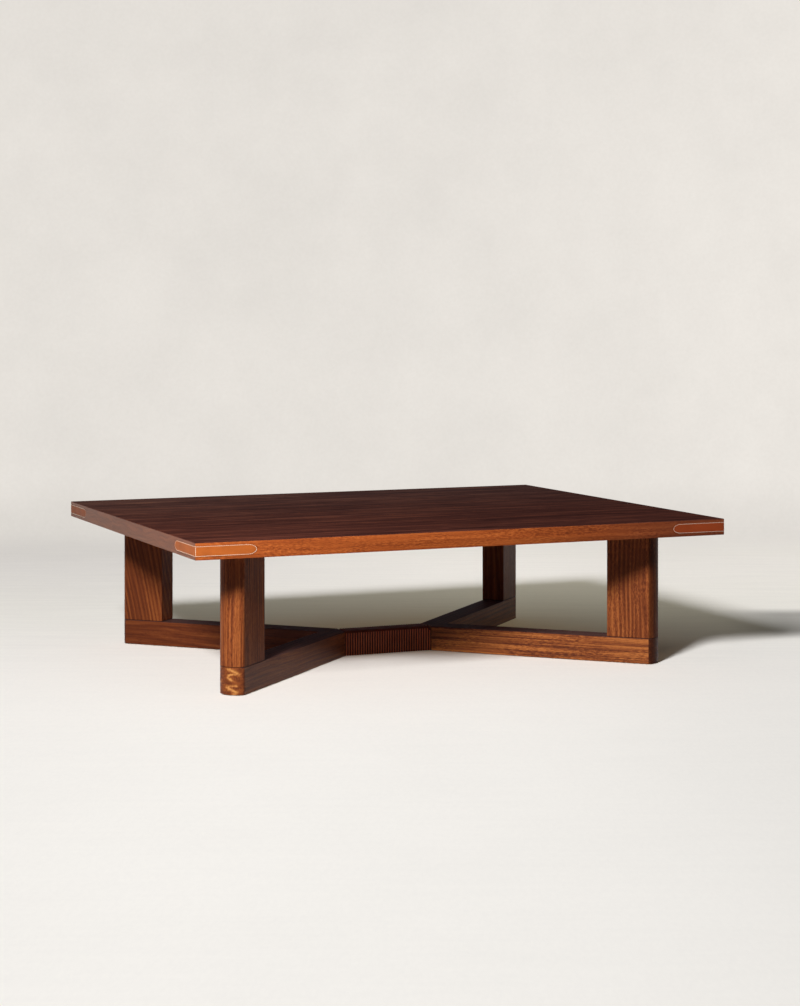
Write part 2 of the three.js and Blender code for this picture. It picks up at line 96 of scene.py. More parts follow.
# Lacing
LACE_WIDTH = 7 * MM
LACE_THICKNESS = 3.2 * MM
LACE_PITCH = 7.6 * MM
LACE_TURNS = 17
LACE_BEND = 4 * MM
LACE_CORNER = 4.9 * MM
LACE_HALF = HALF_RAIL - LACE_THICKNESS / 2
LACE_TUCK = 7 * MM
LACE_TUCK_HEIGHT = 26.6 * MM
LACE_TUCK_OFFSET = 8 * MM

# Camera, from the vanishing lines of the photograph
IMAGE_HEIGHT = 1006
HORIZON_ROW = 306.0
FOCAL_PIXELS = 2128.5
SENSOR = 36.0
CAMERA_PLACE = (-2.3752, -5.6474, 0.9962)
CAMERA_HEADING = math.radians(-23.247)

# The view's own directions on the floor
VIEW_AHEAD = Vector((-math.sin(CAMERA_HEADING), math.cos(CAMERA_HEADING), 0))
VIEW_ASIDE = Vector((VIEW_AHEAD.y, -VIEW_AHEAD.x, 0))

# Light. The key lamp's place is told by the edges of the shadows on the floor and on the base. The light on
# the top fades faster to the right, as from a lamp near its front left corner, and the light on the right arm
# reaches further under the top, as from a lower lamp. So the top and the right arm have lamps of their own.
KEY_PLACE = Vector((-3.864, -4.307, 3.549))
KEY_RADIUS = 0.56
FLOOR_KEY_STRENGTH = (0.923, 0.946, 1.219)
BASE_KEY_STRENGTH = 1.165
ARM_KEY_PLACE = Vector((-3.864, -4.307, 3.10))
TOP_KEY_PLACE = Vector((-1.66, -1.90, 1.13))
TOP_KEY_RADIUS = 0.15
TOP_KEY_STRENGTH = 1.46

# Fills, which cast no shadow
FILL_PLACE = Vector((0, 0, 4))
FAR_FILL_STRENGTH = (0.360, 0.350, 0.325)
HUB_FILL_STRENGTH = (0.500, 0.515, 0.670)
WARM_FILL_STRENGTH = (0.060, 0.030, 0.001)
DIFFUSE_FILL = (0.072, 0.100, 0.152, 1)

# The studio in reflections, what the floor throws back, and the tints of wall and floor
DARK_STUDIO = (0.050, 0.055, 0.068, 1)
PALE_STUDIO = (0.72, 0.75, 0.78, 1)
FLOOR_BOUNCE = (0.165, 0.165, 0.160, 1)
PALE = (0.80, 0.762, 0.712, 1)
NEAR_FLOOR = (0.80, 0.762, 0.570, 1)
FAR_FLOOR = (0.80, 0.762, 0.615, 1)


def add_object(name, data):
    """New object in the scene."""
    made = bpy.data.objects.new(name, data)
    bpy.context.scene.collection.objects.link(made)
    return made


def make_camera():
    data = bpy.data.cameras.new("photo_camera")
    data.sensor_width = SENSOR
    data.lens = FOCAL_PIXELS * SENSOR / IMAGE_HEIGHT
    data.shift_y = (HORIZON_ROW - IMAGE_HEIGHT / 2) / IMAGE_HEIGHT
    camera = add_object("photo_camera", data)
    camera.location = CAMERA_PLACE
    camera.rotation_euler = (math.radians(90), 0, CAMERA_HEADING)
    bpy.context.scene.camera = camera


# Shader building

class Graph:
    """Node tree of one material or world, with short ways to add nodes."""

    def __init__(self, owner):
        owner.use_nodes = True
        self.owner = owner
        self.tree = owner.node_tree

    def put(self, socket, value):
        if isinstance(value, bpy.types.NodeSocket):
            self.tree.links.new(value, socket)
        elif value is not None:
            socket.default_value = value

    def node(self, kind, *values, out=0, **settings):
        """Adds a node with its settings, fills its inputs in order and returns one of its outputs."""
        made = self.tree.nodes.new("ShaderNode" + kind)
        for key, value in settings.items():
            setattr(made, key, value)
        for socket, value in zip(made.inputs, values):
            self.put(socket, value)
        return made.outputs[out]

    def math(self, operation, *values, clamp=False):
        return self.node("Math", *values, operation=operation, use_clamp=clamp)

    def times(self, first, *others):
        for other in others:
            first = self.math("MULTIPLY", first, other)
        return first

    def line(self, value, slope, start):
        """Value times a slope, plus a start."""
        return self.math("MULTIPLY_ADD", value, slope, start)

    def swing(self, tone, value, depth, middle=0.5):
        """Tone raised or lowered by how far a value lies from its middle."""
        return self.line(self.math("SUBTRACT", value, middle), depth, tone)

    def part(self, vector, axis):
        """One part of a vector: X, Y or Z for 0, 1 or 2."""
        return self.node("SeparateXYZ", vector, out=axis)

    def mix(self, factor, first, second, blend="MIX"):
        made = self.tree.nodes.new("ShaderNodeMix")
        made.data_type = "RGBA"
        made.blend_type = blend
        for socket, value in (("Factor_Float", factor), ("A_Color", first), ("B_Color", second)):
            self.put(next(s for s in made.inputs if s.identifier == socket), value)
        return next(s for s in made.outputs if s.identifier == "Result_Color")

    def spread(self, value, low, high, to_low=0.0, to_high=1.0, soft=True):
        """Share that goes from to_low to to_high while a value goes from low to high, and stays there."""
        kind = "SMOOTHSTEP" if soft else "LINEAR"
        return self.node("MapRange", value, low, high, to_low, to_high, interpolation_type=kind)

    def noise(self, place, sizes, seed=0.0, detail=2.0, roughness=0.5):
        """Noise whose marks have about these sizes along X, Y and Z, in metres."""
        scale = tuple(1 / size for size in sizes)
        spot = self.node("Mapping", place, (seed, seed * 1.7, seed * 2.3), (0, 0, 0), scale)
        return self.node("TexNoise", spot, None, 1.0, detail, roughness)

    def ramp(self, value, stops):
        made = self.tree.nodes.new("ShaderNodeValToRGB")
        self.put(made.inputs[0], value)
        marks = made.color_ramp.elements
        while len(marks) < len(stops):
            marks.new(1.0)
        for mark, (position, colour) in zip(marks, stops):
            mark.position = position
            mark.color = (*colour, 1)
        return made.outputs[0]


def material(name, roughness, specular=0.5, metallic=0.0):
    """New material: (its graph, its Principled shader)."""
    graph = Graph(bpy.data.materials.new(name))
    shader = graph.tree.nodes["Principled BSDF"]
    shader.inputs["Roughness"].default_value = roughness
    shader.inputs["Specular IOR Level"].default_value = specular
    shader.inputs["Metallic"].default_value = metallic
    return graph, shader


def bump(graph, shader, height, distance, strength=1.0):
    made = graph.tree.nodes.new("ShaderNodeBump")
    graph.put(made.inputs["Height"], height)
    made.inputs["Distance"].default_value = distance
    made.inputs["Strength"].default_value = strength
    graph.put(shader.inputs["Normal"], made.outputs["Normal"])


def shaded(colour, share):
    """A colour made darker or lighter by a share."""
    return tuple(min(1.0, part * share) for part in colour)


# Depths of the relief of the materials' surfaces
WOOD_RELIEF = 0.08 * MM
END_RELIEF = 0.06 * MM
FELT_RELIEF = 0.10 * MM
THREAD_RELIEF = 0.05 * MM
BRUSHED_RELIEF = 0.02 * MM
PEBBLE_RELIEF_SHARE = 0.12


# Wood

# Linear colours at the dark, middle and light ends of the figure
# The top's face is far darker than its edges: painted shade, as the light only grazes it
SHADED_TOP_FACE = ((0.060, 0.023, 0.018), (0.133, 0.045, 0.031), (0.260, 0.085, 0.048))
TOP_EDGE = ((0.235, 0.049, 0.013), (0.430, 0.093, 0.020), (0.640, 0.166, 0.036))
TOP_END = ((0.170, 0.050, 0.019), (0.250, 0.072, 0.026), (0.335, 0.100, 0.035))
BASE_FACE = ((0.112, 0.026, 0.011), (0.270, 0.067, 0.019), (0.480, 0.142, 0.036))
# The upper faces of the base are darker and bluer than its sides: painted shade under the top, and a painted
# bluish reflection
SHADED_BASE_TOP = ((0.066, 0.034, 0.032), (0.122, 0.056, 0.048), (0.200, 0.084, 0.060))
BASE_END = ((0.150, 0.036, 0.013), (0.320, 0.086, 0.022), (0.700, 0.300, 0.080))
PLAIN_END = ((0.120, 0.028, 0.010), (0.200, 0.050, 0.016), (0.300, 0.085, 0.024))
JOINERY = ((0.42, 0.26, 0.12), (0.55, 0.36, 0.18), (0.66, 0.46, 0.25))


def grain_place(graph, along, across, at=(0, 0, 0)):
    """Place with X along the grain and Y across the wide face, in metres."""
    x = Vector(along).normalized()
    z = x.cross(Vector(across)).normalized()
    turn = Matrix((x, z.cross(x), z)).transposed().to_euler()
    here = graph.node("TexCoord", out=3)
    return graph.node("Mapping", here, tuple(at), tuple(turn), (1, 1, 1), vector_type="TEXTURE")


# Shares of the darkest tone that are left in a pore and in end grain, and the tint of the painted shade that
# darkens an edge towards the right, where the light fades
PORE_SHARE = 0.35
END_PORE_SHARE = 0.40
FADE_SHADE_TINT = (0.62, 0.68, 1.15, 1)

# The painted shade along a joint: how far it is darkest, how far it fades, and how dark it is
SEAM_SHADE_CORE = 1.0 * MM
SEAM_SHADE_EDGE = 3.4 * MM
SEAM_SHADE_SHARE = 0.80


def wood(name, tones, along, across, seed, period=0.013, ribbon=0.50, wander=5.0, streak=0.55, fleck=0.45,
         fleck_sizes=(0.014, 0.0024, 0.0024), cloud=0.25, bend=0.030, roughness=0.42, specular=0.12,
         seam_shade_height=None, painted_fade_from=None):
    """Long-grain mahogany: ribbon stripes from interlocked grain, fine streaks, flecks in patches and pores.

    The period is the width of a ribbon stripe, wander how far the stripes stray and bend how far the whole
    grain sways. Ribbon, streak, fleck and cloud are how strongly each shows. A seam is the height of a joint
    along which painted shade darkens the wood, as if shadow lay in its groove. From the given place on to the
    right, painted shade darkens the wood more and more and tints it bluer, where the light fades.
    """
    graph, shader = material(name, roughness, specular)
    place = grain_place(graph, along, across, (seed * 0.37, seed * 0.11, seed * 0.23))
    sway = graph.noise(place, (0.45, 0.12, 0.12), seed, 1.0)
    sway = graph.line(sway, bend, -bend / 2)
    place = graph.node("VectorMath", place, graph.node("CombineXYZ", 0.0, sway, sway), operation="ADD")
    side = graph.part(place, 1)
    depth = graph.part(place, 2)
    slanted = graph.line(depth, 0.55, side)
    drift = graph.noise(place, (0.50, 0.045, 0.045), seed + 5, 1.0)
    phase = graph.line(slanted, 2 * math.pi / period, graph.times(drift, wander))
    stripes = graph.line(graph.math("SINE", phase), 0.5, 0.5)
    clear = graph.spread(graph.noise(place, (0.20, 0.020, 0.020), seed + 3, 1.0), 0.35, 0.65, 0.55, 1.1)
    stripes = graph.times(stripes, clear)
    streaks = graph.spread(graph.noise(place, (0.30, 0.0042, 0.0042), seed + 15, 3.0, 0.65), 0.32, 0.68)
    patches = graph.spread(graph.noise(place, (0.12, 0.030, 0.030), seed + 17, 1.0), 0.38, 0.62, 0.35, 1.3)
    flecks = graph.spread(graph.noise(place, fleck_sizes, seed + 7, 2.0, 0.6), 0.34, 0.66)
    clouds = graph.noise(place, (0.35, 0.07, 0.07), seed + 9, 2.0)
    fibres = graph.noise(place, (0.040, 0.0009, 0.0009), seed + 11, 2.0)
    tone = graph.swing(graph.swing(0.5, stripes, ribbon, 0.42), streaks, streak)
    marks = graph.times(graph.math("SUBTRACT", flecks, 0.5), patches)
    tone = graph.line(marks, fleck, tone)
    tone = graph.swing(graph.swing(tone, clouds, 2 * cloud), fibres, 0.22)
    colour = graph.ramp(tone, [(0.08, tones[0]), (0.50, tones[1]), (0.92, tones[2])])
    ticks = graph.spread(graph.noise(place, (0.016, 0.0026, 0.0026), seed + 19, 1.0), 0.66, 0.74)
    pores = graph.spread(graph.noise(place, (0.0050, 0.00045, 0.00045), seed + 13, 1.0), 0.62, 0.72)
    dark = (*shaded(tones[0], PORE_SHARE), 1)
    marks_and_seam_shade = graph.math("MAXIMUM", graph.times(ticks, 0.45), graph.times(pores, 0.45))
    # Painted shade along the joint, as if shadow lay in its groove
    if seam_shade_height is not None:
        height = graph.part(graph.node("TexCoord", out=3), 2)
        near = graph.math("ABSOLUTE", graph.math("SUBTRACT", height, seam_shade_height))
        marks_and_seam_shade = graph.math("MAXIMUM", marks_and_seam_shade, graph.spread(near, SEAM_SHADE_CORE, SEAM_SHADE_EDGE, SEAM_SHADE_SHARE, 0.0))
    colour = graph.mix(marks_and_seam_shade, colour, dark)
    # Painted shade that grows towards the right, where the light fades
    if painted_fade_from is not None:
        right = graph.part(graph.node("TexCoord", out=3), 0)
        fade_share = graph.spread(right, painted_fade_from, HALF_LENGTH, 0.0, 1.0)
        colour = graph.mix(fade_share, colour, FADE_SHADE_TINT, "MULTIPLY")
    graph.put(shader.inputs["Base Color"], colour)
    satin = graph.line(pores, 0.25, roughness)
    graph.put(shader.inputs["Roughness"], graph.line(flecks, -0.06, satin))
    relief = graph.math("SUBTRACT", graph.times(fibres, 0.35), pores)
    bump(graph, shader, relief, WOOD_RELIEF, 0.6)
    return graph.owner


def end_grain(name, tones, along, across, seed, roughness=0.36, specular=0.2):
    """End grain: open pores as fine dots in faint growth bands."""
    graph, shader = material(name, roughness, specular)
    place = grain_place(graph, along, across, (seed * 0.31, seed * 0.17, seed * 0.29))
    sway = graph.line(graph.noise(place, (1.0, 0.09, 0.09), seed, 1.0), 0.024, -0.012)
    place = graph.node("VectorMath", place, graph.node("CombineXYZ", 0.0, sway, sway), operation="ADD")
    bands = graph.spread(graph.noise(place, (1.0, 0.120, 0.007), seed + 2, 2.0), 0.32, 0.68)
    dots = graph.spread(graph.noise(place, (1.0, 0.0009, 0.0009), seed + 4, 1.0), 0.60, 0.72)
    tone = graph.swing(0.5, bands, 0.5)
    colour = graph.ramp(tone, [(0.1, tones[0]), (0.5, tones[1]), (0.9, tones[2])])
    colour = graph.mix(graph.times(dots, 0.35), colour, (*shaded(tones[0], END_PORE_SHARE), 1))
    graph.put(shader.inputs["Base Color"], colour)
    graph.put(shader.inputs["Roughness"], graph.line(dots, 0.2, roughness))
    bump(graph, shader, graph.math("SUBTRACT", 0.0, dots), END_RELIEF, 0.6)
    return graph.owner


# The curly figure's zigzag: height of a stroke, the height it turns about, sideways run to height, the width
# that holds one flame, and how narrow the flame is
STROKE_HEIGHT = 12.5 * MM
STROKE_MIDDLE = 6.2 * MM
STROKE_SLANT = -2.1
FLAME_PITCH = 56 * MM
FLAME_POWER = 4.0


def curly_end(name, tones, along, middle, seed):
    """End of an arm, where curly figure runs down the section in golden zigzag flames."""
    graph, shader = material(name, 0.42, 0.12)
    place = grain_place(graph, along, (0, 0, 1), middle)
    kink = graph.line(graph.noise(place, (1.0, 0.024, 0.024), seed, 1.0), 0.020, -0.003)
    side = graph.math("ADD", graph.part(place, 2), kink)
    height = graph.line(kink, 0.6, graph.part(place, 1))
    folded = graph.math("PINGPONG", graph.math("ADD", height, 1.0), STROKE_HEIGHT)
    swung = graph.swing(side, folded, STROKE_SLANT, STROKE_MIDDLE)
    phase = graph.times(swung, 2 * math.pi / FLAME_PITCH)
    flames = graph.line(graph.math("COSINE", phase), 0.5, 0.5)
    flames = graph.math("POWER", flames, FLAME_POWER)
    level = graph.line(folded, -0.5, height)
    phase = graph.times(level, 2 * math.pi / STROKE_HEIGHT)
    bars = graph.line(graph.math("SINE", phase), 0.5, 0.5)
    streaks = graph.spread(graph.noise(place, (1.0, 0.0060, 0.0040), seed + 2, 2.0), 0.35, 0.65)
    fade = graph.spread(graph.noise(place, (1.0, 0.020, 0.020), seed + 4, 1.0), 0.36, 0.60, 0.45, 1.0)
    tone = graph.line(bars, 0.20, graph.times(flames, 0.72))
    tone = graph.times(graph.line(streaks, 0.30, tone), fade)
    colour = graph.ramp(tone, [(0.05, tones[0]), (0.45, tones[1]), (1.0, tones[2])])
    graph.put(shader.inputs["Base Color"], colour)
    bump(graph, shader, graph.times(streaks, 0.5), WOOD_RELIEF, 0.5)
    return graph.owner


# Leather, felt and metal

HIDES = {
    "front_left": (0.505, 0.122, 0.020), "front_right": (0.365, 0.060, 0.012),
    "back_left": (0.370, 0.085, 0.016), "back_right": (0.440, 0.100, 0.020),
}
# One lace leather, lighter on its crown as painted highlight and darker elsewhere as painted shade
LACE_LIT_CROWN = (0.700, 0.200, 0.085)
LACE_SHADED_GROOVE = (0.200, 0.050, 0.024)
THREAD = (0.84, 0.70, 0.53)
FELT = (0.052, 0.034, 0.024)
ZINC = (0.56, 0.57, 0.58)
BRASS = (0.68, 0.50, 0.24)


def leather(name, colour, roughness, pebble, seed, specular):
    """Leather with clouded dye and grain pebbles of the given size."""
    graph, shader = material(name, roughness, specular)
    place = graph.node("TexCoord", out=3)
    clouds = graph.noise(place, (0.050, 0.050, 0.030), seed, 2.0)
    skin = graph.noise(place, (pebble, pebble, pebble), seed + 2, 3.0, 0.6)
    creases = graph.spread(graph.noise(place, (0.012, 0.012, 0.004), seed + 4, 2.0), 0.35, 0.65)
    tone = graph.swing(graph.swing(0.5, clouds, 0.9), skin, 0.60)
    stops = [(0.1, shaded(colour, 0.68)), (0.5, colour), (0.9, shaded(colour, 1.25))]
    graph.put(shader.inputs["Base Color"], graph.ramp(tone, stops))
    graph.put(shader.inputs["Roughness"], graph.line(skin, 0.12, roughness - 0.06))
    bump(graph, shader, graph.line(creases, 0.25, skin), pebble * PEBBLE_RELIEF_SHARE, 0.7)
    return graph.owner


def fibrous(name, colour, roughness, sizes, seed, depth):
    """Thread or felt: fine fibres in tone and relief."""
    graph, shader = material(name, roughness, 0.2)
    fibres = graph.noise(graph.node("TexCoord", out=3), sizes, seed, 3.0, 0.65)
    tone = graph.spread(fibres, 0.3, 0.7, soft=False)
    stops = [(0.0, shaded(colour, 0.62)), (0.5, colour), (1.0, shaded(colour, 1.15))]
    graph.put(shader.inputs["Base Color"], graph.ramp(tone, stops))
    graph.put(shader.inputs["Roughness"], graph.line(fibres, 0.1, roughness - 0.05))
    bump(graph, shader, fibres, depth, 0.8)
    return graph.owner


def metal(name, colour, roughness, seed):
    graph, shader = material(name, roughness, 0.5, 1.0)
    place = graph.node("TexCoord", out=3)
    stains = graph.noise(place, (0.030, 0.030, 0.030), seed, 3.0, 0.6)
    brushed = graph.noise(place, (0.010, 0.0006, 0.0006), seed + 2, 2.0)
    stops = [(0.35, shaded(colour, 0.72)), (0.6, colour)]
    graph.put(shader.inputs["Base Color"], graph.ramp(stains, stops))
    uneven = graph.line(stains, 0.24, roughness - 0.12)
    graph.put(shader.inputs["Roughness"], graph.line(brushed, 0.1, uneven))
    bump(graph, shader, brushed, BRUSHED_RELIEF, 0.5)
    return graph.owner


# Dressing of the frame's nodes

# Eased arrises: how near points are welded, the least angle of a sharp one, and the weight of flat faces
WELD_REACH = 0.01 * MM
SHARP_ANGLE = math.radians(50)
FLAT_WEIGHT = 80


def soften(node):
    """Shades eased arrises as round, with the mesh's own places kept."""
    mesh = node.data
    old = mesh.attributes.get("custom_normal")
    if old:
        mesh.attributes.remove(old)
    mesh.shade_smooth()
    weld = node.modifiers.new("weld", "WELD")
    weld.merge_threshold = WELD_REACH
    split = node.modifiers.new("arrises", "EDGE_SPLIT")
    split.split_angle = SHARP_ANGLE
    weighted = node.modifiers.new("flats", "WEIGHTED_NORMAL")
    weighted.mode = "FACE_AREA_WITH_ANGLE"
    weighted.weight = FLAT_WEIGHT


def dress(name, *looks):
    """Gives a node its finishes, as materials and tests of a face's normal. The first that fits is taken."""
    mesh = nodes[name].data
    mesh.materials.clear()
    for look, _ in looks:
        mesh.materials.append(look)
    chosen = []
    for face in mesh.polygons:
        normal = face.normal.copy()
        chosen.append(next(i for i, (_, test) in enumerate(looks) if test is None or test(normal)))
    mesh.polygons.foreach_set("material_index", chosen)
    soften(nodes[name])


def direction_of(corner):
    """Unit vector along an arm, from the beam to the foot."""
    sx, sy = CORNERS[corner]
    return Vector((sx * math.cos(ARM_ANGLE), sy * math.sin(ARM_ANGLE), 0))


def tinted_tones(tones, tint):
    return [tuple(part * share for part, share in zip(tone, tint)) for tone in tones]


# Least parts of a face's normal along the grain, round the curved ends, and upwards
END_SHARE = 0.8
CURVED_SHARE = 0.55
UPWARD_SHARE = 0.35

# How the figure runs on the faces and on the edges of the top's boards
FACE_FIGURE = dict(period=0.040, ribbon=0.35, wander=14.0, streak=0.30, fleck=0.25,
                   fleck_sizes=(0.050, 0.006, 0.006), cloud=0.45)
EDGE_FIGURE = dict(period=0.020, ribbon=0.14, streak=0.22, fleck=0.42, fleck_sizes=(0.011, 0.0024, 0.0024))

# Tint of the front board, and the painted sheen that the back board has more: the face grows lighter and
# bluer towards the back, as painted reflection of the pale wall
FRONT_TINT = Vector((1.08, 0.98, 0.98))
BACK_SHEEN_MORE = Vector((0.50, 1.00, 1.10))


def dress_top():
    boards = sorted(name for name in nodes if name.startswith("top_board_"))
    along = (1, 0, 0)
    for i, name in enumerate(boards):
        seed = 4.1 * i + 1.3
        back_share = (i / (len(boards) - 1)) ** 2
        # Painted sheen that grows towards the back board
        tones = tinted_tones(SHADED_TOP_FACE, FRONT_TINT + back_share * BACK_SHEEN_MORE)
        face = wood(f"top_face_{i + 1}", tones, along, (0, 1, 0), seed, roughness=0.80, specular=0.0,
                    **FACE_FIGURE)
        edge = wood(f"top_edge_{i + 1}", TOP_EDGE, along, (0, 0, 1), seed + 2, specular=0.04, painted_fade_from=0.10,
                    **EDGE_FIGURE)
        end = end_grain(f"top_end_{i + 1}", TOP_END, along, (0, 1, 0), seed + 3)
        dress(name, (end, lambda n: abs(n.x) > END_SHARE), (face, lambda n: n.z > UPWARD_SHARE), (edge, None))


# How the figure and the lean of the grain differ from leg to leg and from arm to arm, and each piece's tint.
# The tints are painted light and shade: they darken or lighten each piece to how much light falls on it.
LEG_FIGURE = {
    "front_left": dict(period=0.012, ribbon=0.30, streak=0.55, fleck=0.26),
    "front_right": dict(period=0.013, ribbon=0.46, wander=2.0, streak=0.26, fleck=0.42,
                        fleck_sizes=(0.010, 0.0024, 0.0024)),
    "back_left": dict(period=0.013, ribbon=0.36, wander=3.0, streak=0.26, fleck=0.12, cloud=0.35),
    "back_right": dict(period=0.012, ribbon=0.30, streak=0.25, fleck=0.15),
}
ARM_FIGURE = {
    "front_left": dict(period=0.014, ribbon=0.25, wander=9.0, streak=0.40, fleck=0.15),
    "front_right": dict(period=0.020, ribbon=0.46, wander=5.0, streak=0.60, fleck=0.45,
                        fleck_sizes=(0.012, 0.0026, 0.0026), bend=0.010),
    "back_left": dict(period=0.022, ribbon=0.28, wander=9.0, streak=0.30, fleck=0.08),
    "back_right": dict(period=0.014, ribbon=0.25, wander=9.0, streak=0.30, fleck=0.12),
}
LEG_SLANTS = {"front_left": 0.012, "front_right": 0.012, "back_left": 0.20, "back_right": 0.012}
LEG_SHADE_TINTS = {
    "front_left": (0.80, 0.80, 0.82), "front_right": (0.98, 0.98, 0.98),
    "back_left": (0.92, 0.90, 0.90), "back_right": (0.80, 0.85, 0.95),
}
ARM_LIGHT_AND_SHADE_TINTS = {
    "front_left": (0.80, 0.86, 0.90), "front_right": (1.18, 1.28, 1.25),
    "back_left": (0.68, 0.62, 0.66), "back_right": (0.85, 0.88, 0.92),
}
CURVED_LIGHT_AND_SHADE_TINTS = {
    "front_left": (1.06, 1.04, 1.02), "front_right": (0.40, 0.37, 0.36),
    "back_left": (0.90, 0.90, 0.90), "back_right": (0.90, 0.90, 0.90),
}


def dress_base():
    for k, corner in enumerate(CORNERS):
        out = direction_of(corner)
        side = Vector((-out.y, out.x, 0))
        seed = 3.7 * k + 2.2
        up = Vector((0, 0, 1)) + LEG_SLANTS[corner] * out
        leg_look = dict(roughness=0.48, specular=0.09, seam_shade_height=RAIL_HIGH, **LEG_FIGURE[corner])
        # Each piece's tint is painted light and shade, to how much light falls on it
        leg_tones = tinted_tones(BASE_FACE, LEG_SHADE_TINTS[corner])
        leg = wood(f"leg_wood_{corner}", leg_tones, up, out, seed, **leg_look)
        curved_tones = tinted_tones(BASE_FACE, CURVED_LIGHT_AND_SHADE_TINTS[corner])
        curved = wood(f"leg_curved_{corner}", curved_tones, up, side, seed + 4.2, **leg_look)
        arm_tones = tinted_tones(BASE_FACE, ARM_LIGHT_AND_SHADE_TINTS[corner])
        arm = wood(f"arm_wood_{corner}", arm_tones, out, (0, 0, 1), seed + 1.6, **ARM_FIGURE[corner])
        arm_top = wood(f"arm_top_{corner}", SHADED_BASE_TOP, out, side, seed + 1.6, roughness=0.60, specular=0.003,
                       **ARM_FIGURE[corner])
        leg_end = end_grain(f"leg_end_{corner}", TOP_END, (0, 0, 1), out, seed + 2.4)
        end_tones = tinted_tones(BASE_END if corner == "front_left" else PLAIN_END, CURVED_LIGHT_AND_SHADE_TINTS[corner])
        foot = Vector((CORNERS[corner][0] * FOOT.x, CORNERS[corner][1] * FOOT.y, RAIL_MIDDLE))
        arm_end = curly_end(f"arm_end_{corner}", end_tones, out, foot, seed + 3.1)
        dress(f"leg_{corner}", (leg_end, lambda n: abs(n.z) > END_SHARE),
              (curved, lambda n, out=out: n.dot(out) > CURVED_SHARE), (leg, None))
        dress(f"arm_{corner}", (arm_end, lambda n, out=out: n.dot(out) > CURVED_SHARE),
              (arm_top, lambda n: n.z > UPWARD_SHARE), (arm, None))
    beam = wood("beam_wood", BASE_FACE, (1, 0, 0), (0, 0, 1), 21.0)
    beam_top = wood("beam_top", SHADED_BASE_TOP, (1, 0, 0), (0, 1, 0), 21.0, roughness=0.60, specular=0.003)
    dress("centre_beam", (beam_top, lambda n: n.z > UPWARD_SHARE), (beam, None))


def dress_inside():
    joinery = wood("joinery_wood_grain", JOINERY, (0, 0, 1), (1, 0, 0), 5.0, ribbon=0.2, fleck=0.2)
    steel = metal("zinc_plated_steel", ZINC, 0.36, 1.0)
    brass = metal("insert_brass", BRASS, 0.38, 2.0)
    felt = fibrous("glide_felt", FELT, 0.95, (0.0012, 0.0004, 0.0012), 3.0, FELT_RELIEF)
    finishes = {
        "mitre_tenon": joinery, "hub_tenon": joinery, "leg_dowel": joinery, "leg_bolt": steel,
        "bolt_washer": steel, "head_plate": steel, "threaded_insert": brass, "glide": felt,
    }
    for name in nodes:
        for start, finish in finishes.items():
            if name.startswith(start):
                dress(name, (finish, None))
    return steel


# New pieces

def add_piece(name, vertices, faces, finish, slot=None, smooth=True, replaced=()):
    mesh = bpy.data.meshes.new(name)
    mesh.from_pydata([tuple(v) for v in vertices], [], faces)
    mesh.validate()
    mesh.materials.append(finish)
    if smooth:
        mesh.shade_smooth()
    piece = add_object(name, mesh)
    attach(piece, "root")
    if replaced:
        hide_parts(*replaced)
    return piece


def tube(path, section):
    """Closed tube of quads: path gives (place, side, out) at each ring, section (side, out) at each point."""
    vertices = [place + side * a + out * b for place, side, out in path for a, b in section]
    count = len(section)
    faces = []
    for i in range(len(path) - 1):
        for j in range(count):
            k = (j + 1) % count
            faces.append((i * count + j, i * count + k, (i + 1) * count + k, (i + 1) * count + j))
    faces.append(tuple(reversed(range(count))))
    faces.append(tuple((len(path) - 1) * count + j for j in range(count)))
    return vertices, faces


def join(parts):
    """Several (vertices, faces) as one."""
    vertices, faces = [], []
    for more_vertices, more_faces in parts:
        start = len(vertices)
        vertices.extend(more_vertices)
        faces.extend(tuple(start + v for v in face) for face in more_faces)
    return vertices, faces


# Corner leathers

TIP_STEPS = 14
STRAIGHT_STEPS = 12
ARRIS_STEPS = 6
ARRIS_ARC = ARRIS_RADIUS * math.pi / 2
BAND_SHORTER = LEATHER_TIP + ARRIS_RADIUS - ARRIS_ARC / 2

# Section of the leather's border, in millimetres: distance in from its outline, and height over the board
BORDER = [(0.0, -LEATHER_THICKNESS / MM), (0.0, -0.70), (0.12, -0.35), (0.40, -0.12), (0.60, -0.06),
          (0.80, -0.20), (1.10, -0.48), (1.90, -0.48), (2.20, -0.20), (2.50, -0.05), (3.00, -0.02),
          (4.20, -0.02)]
STITCH_INSET = 1.5 * MM
STITCH_PITCH = 4.8 * MM
STITCH_LENGTH = 4.3 * MM
STITCH_RADIUS = 0.80 * MM
STITCH_FLATNESS = 0.53
STITCH_SIDES = 6

# A stitch from hole to hole: shares of its length, and heights over the board, in millimetres
STITCH_SHARES = [-0.5, -0.38, 0.0, 0.38, 0.5]
STITCH_HEIGHTS = [-1.00, -0.53, -0.44, -0.53, -1.00]

# How much higher the stitches on the arris lie, in millimetres
ARRIS_STITCH_LIFT = 0.46


def band_place(corner, t, z, height):
    """Place on the corner band, laid round the arris: t from the arris, z up, and height over the face."""
    sx, sy = CORNERS[corner]
    half_arc = ARRIS_ARC / 2
    turn = max(-1.0, min(1.0, t / half_arc)) * math.pi / 4
    normal = Vector((sx * math.sin(math.pi / 4 - turn), sy * math.cos(math.pi / 4 - turn), 0))
    centre = Vector((sx * (HALF_LENGTH - ARRIS_RADIUS), sy * (HALF_WIDTH - ARRIS_RADIUS), TOP_MIDDLE + z))
    past = max(0.0, abs(t) - half_arc)
    along = Vector((-sx, 0, 0)) if t > 0 else Vector((0, -sy, 0))
    return centre + normal * (ARRIS_RADIUS + height) + along * past


